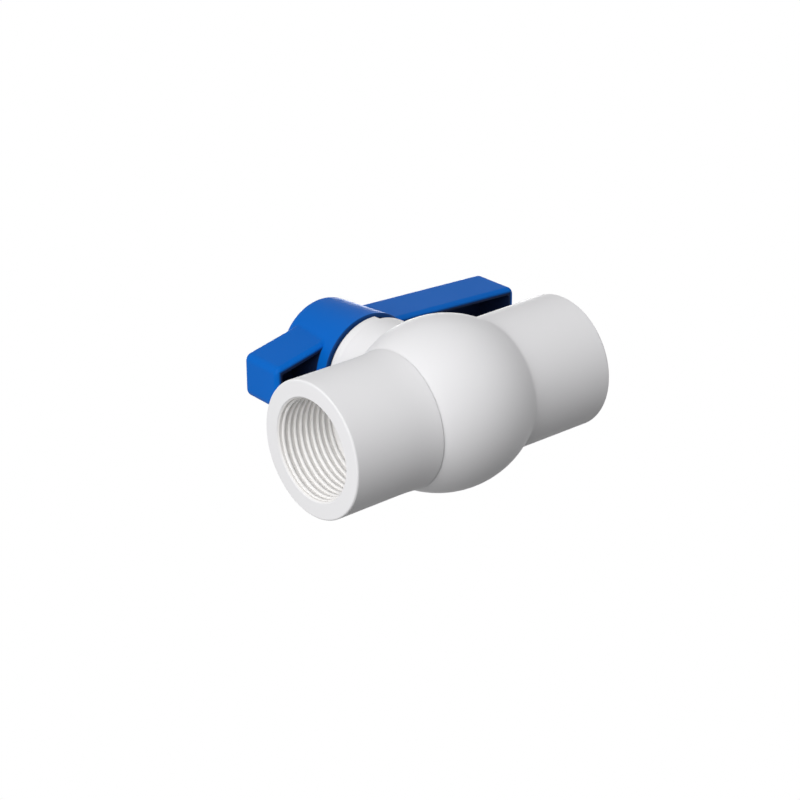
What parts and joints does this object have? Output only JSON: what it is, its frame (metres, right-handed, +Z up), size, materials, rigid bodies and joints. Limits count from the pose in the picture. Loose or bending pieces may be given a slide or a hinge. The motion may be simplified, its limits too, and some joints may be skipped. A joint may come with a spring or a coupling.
{
  "type": "ball valve",
  "caption": "Quarter-turn plastic ball valve with internally threaded ends, a bored ball, seats, seals, a stem and a two-armed lever handle.",
  "frame": {"origin": "centre of the ball, where the pipe axis and the stem axis cross", "axes": "+X along the pipe towards the end moulded on the body, +Z up the stem towards the handle; the handle's long arm lies along +X when the valve is open"},
  "size_m": [0.0987, 0.0456, 0.0735],
  "materials": {
    "body_plastic": "smooth moulded white, soft sheen",
    "ball_plastic": "smooth white",
    "seat_plastic": "waxy off-white",
    "seal_rubber": "black, dull",
    "handle_plastic": "moulded blue, soft sheen",
    "screw_steel": "stainless"
  },
  "bodies": {
    "body": {"valve_body": "body_plastic", "end_connector": "body_plastic", "seat_ring_far": "seat_plastic", "seat_ring_near": "seat_plastic", "seat_o_ring_far": "seal_rubber", "seat_o_ring_near": "seal_rubber", "thrust_washer": "seat_plastic"},
    "handle": {"handle": "handle_plastic", "stem": "ball_plastic", "stem_o_ring_lower": "seal_rubber", "stem_o_ring_upper": "seal_rubber", "handle_screw": "screw_steel", "handle_cap": "handle_plastic"},
    "ball": {"ball": "ball_plastic"}
  },
  "joints": [
    {"name": "handle_turn", "type": "hinge", "parent": "body", "child": "handle", "pos_m": [0, 0, 0], "axis": [0, 0, 1], "range_deg": [-90, 0]},
    {"name": "ball_turn", "type": "hinge", "parent": "body", "child": "ball", "pos_m": [0, 0, 0], "axis": [0, 0, 1], "range_deg": [-90, 0]}
  ],
  "couplings": [
    {"joint": "ball_turn", "follows": "handle_turn", "ratio": 1}
  ]
}
